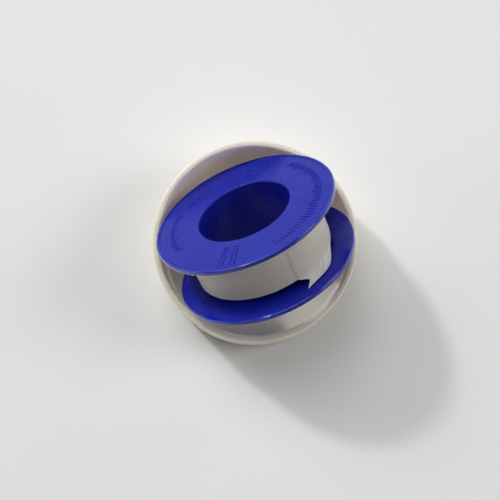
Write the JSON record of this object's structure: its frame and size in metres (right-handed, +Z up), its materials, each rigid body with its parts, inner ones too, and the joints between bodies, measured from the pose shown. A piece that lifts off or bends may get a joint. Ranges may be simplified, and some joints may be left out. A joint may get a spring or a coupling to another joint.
{
  "type": "roll of thread-seal tape",
  "caption": "Two-flange plastic spool of white non-stick film tape with a torn loose end, leaning in its open cup-shaped slip-on cover.",
  "frame": {"origin": "centre of the cover's base, on the surface that it stands on", "axes": "+Z up along the cover's axis, +X to the right and +Y to the top of the picture; the spool's axis leans 49 degrees from +Z, 117.5 degrees round from +X"},
  "size_m": [0.056, 0.056, 0.051],
  "materials": {
    "cover_plastic": "satin moulded, cream white",
    "spool_plastic": "satin moulded, deep blue, slightly translucent",
    "tape_film": "soft matt film, white"
  },
  "bodies": {
    "cover": {"cover": "cover_plastic"},
    "spool": {"spool_lower_half": "spool_plastic", "spool_upper_half": "spool_plastic"},
    "tape": {"tape_winding": "tape_film", "tape_last_turn": "tape_film"}
  },
  "joints": [
    {"name": "spool_lift", "type": "slide", "parent": "cover", "child": "spool", "axis": [0, 0, 1], "range_m": [0, 0.03]},
    {"name": "tape_turn", "type": "hinge", "parent": "spool", "child": "tape", "pos_m": [0.00017, -0.00033, 0.0263], "axis": [-0.3485, 0.6694, 0.6561], "continuous": true}
  ]
}
